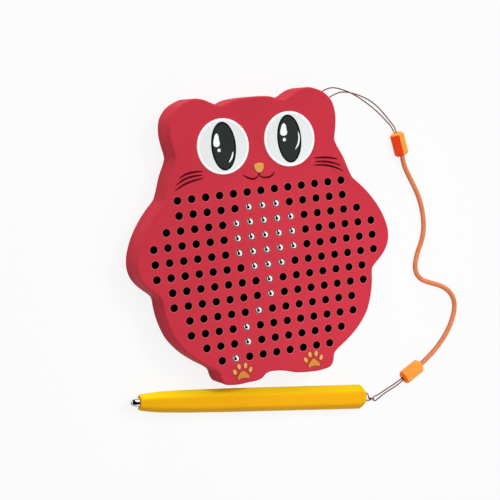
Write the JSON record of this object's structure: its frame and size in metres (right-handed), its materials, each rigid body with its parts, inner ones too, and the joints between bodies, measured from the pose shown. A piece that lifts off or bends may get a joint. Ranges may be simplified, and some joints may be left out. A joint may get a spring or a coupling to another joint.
{
  "type": "magnetic drawing board",
  "caption": "Animal-shaped magnetic drawing board on its back, with steel balls in a field of round holes, a magnetic pen and an orange lanyard cord.",
  "frame": {"origin": "on the outer face of the rear cover, on the surface that the board lies on, under the middle of the ball field", "axes": "+Z out of the board's face, +Y towards the ears, +X to the right as the face is read"},
  "size_m": [0.1794, 0.1595, 0.0168],
  "materials": {
    "shell_red": "satin moulded plastic with a fine grain",
    "cover_red": "satin moulded plastic, a darker red",
    "tray_black": "matt black moulded plastic",
    "screw_steel": "zinc plated steel",
    "ball_steel": "polished steel",
    "eye_white": "smooth white plastic",
    "gold": "satin gold paint",
    "pen_yellow": "satin yellow plastic",
    "magnet_nickel": "nickel plated magnet",
    "connector_orange": "glossy, slightly see-through orange plastic",
    "cord_orange": "smooth orange cord",
    "thread_brown": "twisted brown thread"
  },
  "bodies": {
    "board": {"front_shell": "shell_red", "ball_tray": "tray_black", "rear_cover": "cover_red", "screw_ear_left": "screw_steel", "screw_flank_left": "screw_steel", "screw_foot_left": "screw_steel", "screw_ear_right": "screw_steel", "screw_flank_right": "screw_steel", "screw_foot_right": "screw_steel", "eye_left": "eye_white", "eye_right": "eye_white", "nose": "gold", "connector_upper": "connector_orange", "connector_lower": "connector_orange", "lanyard_cord": "cord_orange", "ear_thread": "thread_brown", "pen_thread": "thread_brown"},
    "ball_row2_col8": {"ball_row2_col8": "ball_steel"},
    "ball_row2_col9": {"ball_row2_col9": "ball_steel"},
    "ball_row2_col10": {"ball_row2_col10": "ball_steel"},
    "ball_row3_col7": {"ball_row3_col7": "ball_steel"},
    "ball_row3_col8": {"ball_row3_col8": "ball_steel"},
    "ball_row3_col9": {"ball_row3_col9": "ball_steel"},
    "ball_row3_col10": {"ball_row3_col10": "ball_steel"},
    "ball_row3_col11": {"ball_row3_col11": "ball_steel"},
    "ball_row4_col7": {"ball_row4_col7": "ball_steel"},
    "ball_row4_col8": {"ball_row4_col8": "ball_steel"},
    "ball_row4_col9": {"ball_row4_col9": "ball_steel"},
    "ball_row4_col10": {"ball_row4_col10": "ball_steel"},
    "ball_row4_col11": {"ball_row4_col11": "ball_steel"},
    "ball_row5_col7": {"ball_row5_col7": "ball_steel"},
    "ball_row5_col8": {"ball_row5_col8": "ball_steel"},
    "ball_row5_col9": {"ball_row5_col9": "ball_steel"},
    "ball_row5_col10": {"ball_row5_col10": "ball_steel"},
    "ball_row5_col11": {"ball_row5_col11": "ball_steel"},
    "ball_row6_col8": {"ball_row6_col8": "ball_steel"},
    "ball_row6_col9": {"ball_row6_col9": "ball_steel"},
    "ball_row6_col10": {"ball_row6_col10": "ball_steel"},
    "ball_row7_col9": {"ball_row7_col9": "ball_steel"},
    "ball_row8_col9": {"ball_row8_col9": "ball_steel"},
    "ball_row9_col8": {"ball_row9_col8": "ball_steel"},
    "ball_row10_col7": {"ball_row10_col7": "ball_steel"},
    "ball_row11_col7": {"ball_row11_col7": "ball_steel"},
    "ball_row12_col6": {"ball_row12_col6": "ball_steel"},
    "knot": {"thread_knot": "thread_brown"},
    "pen": {"pen_barrel": "pen_yellow", "pen_tip": "ball_steel", "pen_magnet": "magnet_nickel", "pen_end_plug": "pen_yellow", "pen_loop": "thread_brown"}
  },
  "joints": [
    {"name": "ball_row2_col8_slide", "type": "slide", "parent": "board", "child": "ball_row2_col8", "axis": [0, 0, 1], "range_m": [-0.0025, 0]},
    {"name": "ball_row2_col9_slide", "type": "slide", "parent": "board", "child": "ball_row2_col9", "axis": [0, 0, 1], "range_m": [-0.0025, 0]},
    {"name": "ball_row2_col10_slide", "type": "slide", "parent": "board", "child": "ball_row2_col10", "axis": [0, 0, 1], "range_m": [-0.0025, 0]},
    {"name": "ball_row3_col7_slide", "type": "slide", "parent": "board", "child": "ball_row3_col7", "axis": [0, 0, 1], "range_m": [-0.0025, 0]},
    {"name": "ball_row3_col8_slide", "type": "slide", "parent": "board", "child": "ball_row3_col8", "axis": [0, 0, 1], "range_m": [-0.0025, 0]},
    {"name": "ball_row3_col9_slide", "type": "slide", "parent": "board", "child": "ball_row3_col9", "axis": [0, 0, 1], "range_m": [-0.0025, 0]},
    {"name": "ball_row3_col10_slide", "type": "slide", "parent": "board", "child": "ball_row3_col10", "axis": [0, 0, 1], "range_m": [-0.0025, 0]},
    {"name": "ball_row3_col11_slide", "type": "slide", "parent": "board", "child": "ball_row3_col11", "axis": [0, 0, 1], "range_m": [-0.0025, 0]},
    {"name": "ball_row4_col7_slide", "type": "slide", "parent": "board", "child": "ball_row4_col7", "axis": [0, 0, 1], "range_m": [-0.0025, 0]},
    {"name": "ball_row4_col8_slide", "type": "slide", "parent": "board", "child": "ball_row4_col8", "axis": [0, 0, 1], "range_m": [-0.0025, 0]},
    {"name": "ball_row4_col9_slide", "type": "slide", "parent": "board", "child": "ball_row4_col9", "axis": [0, 0, 1], "range_m": [-0.0025, 0]},
    {"name": "ball_row4_col10_slide", "type": "slide", "parent": "board", "child": "ball_row4_col10", "axis": [0, 0, 1], "range_m": [-0.0025, 0]},
    {"name": "ball_row4_col11_slide", "type": "slide", "parent": "board", "child": "ball_row4_col11", "axis": [0, 0, 1], "range_m": [-0.0025, 0]},
    {"name": "ball_row5_col7_slide", "type": "slide", "parent": "board", "child": "ball_row5_col7", "axis": [0, 0, 1], "range_m": [-0.0025, 0]},
    {"name": "ball_row5_col8_slide", "type": "slide", "parent": "board", "child": "ball_row5_col8", "axis": [0, 0, 1], "range_m": [-0.0025, 0]},
    {"name": "ball_row5_col9_slide", "type": "slide", "parent": "board", "child": "ball_row5_col9", "axis": [0, 0, 1], "range_m": [-0.0025, 0]},
    {"name": "ball_row5_col10_slide", "type": "slide", "parent": "board", "child": "ball_row5_col10", "axis": [0, 0, 1], "range_m": [-0.0025, 0]},
    {"name": "ball_row5_col11_slide", "type": "slide", "parent": "board", "child": "ball_row5_col11", "axis": [0, 0, 1], "range_m": [-0.0025, 0]},
    {"name": "ball_row6_col8_slide", "type": "slide", "parent": "board", "child": "ball_row6_col8", "axis": [0, 0, 1], "range_m": [-0.0025, 0]},
    {"name": "ball_row6_col9_slide", "type": "slide", "parent": "board", "child": "ball_row6_col9", "axis": [0, 0, 1], "range_m": [-0.0025, 0]},
    {"name": "ball_row6_col10_slide", "type": "slide", "parent": "board", "child": "ball_row6_col10", "axis": [0, 0, 1], "range_m": [-0.0025, 0]},
    {"name": "ball_row7_col9_slide", "type": "slide", "parent": "board", "child": "ball_row7_col9", "axis": [0, 0, 1], "range_m": [-0.0025, 0]},
    {"name": "ball_row8_col9_slide", "type": "slide", "parent": "board", "child": "ball_row8_col9", "axis": [0, 0, 1], "range_m": [-0.0025, 0]},
    {"name": "ball_row9_col8_slide", "type": "slide", "parent": "board", "child": "ball_row9_col8", "axis": [0, 0, 1], "range_m": [-0.0025, 0]},
    {"name": "ball_row10_col7_slide", "type": "slide", "parent": "board", "child": "ball_row10_col7", "axis": [0, 0, 1], "range_m": [-0.0025, 0]},
    {"name": "ball_row11_col7_slide", "type": "slide", "parent": "board", "child": "ball_row11_col7", "axis": [0, 0, 1], "range_m": [-0.0025, 0]},
    {"name": "ball_row12_col6_slide", "type": "slide", "parent": "board", "child": "ball_row12_col6", "axis": [0, 0, 1], "range_m": [-0.0025, 0]},
    {"name": "pen_swing", "type": "hinge", "parent": "board", "child": "knot", "pos_m": [0.0541, -0.07225, 0.00085], "axis": [0, 0, 1], "range_deg": [0, 90]},
    {"name": "pen_lift", "type": "hinge", "parent": "knot", "child": "pen", "pos_m": [0.0541, -0.07225, 0.00085], "axis": [0.1402, 0.9901, 0], "range_deg": [0, 85]}
  ]
}
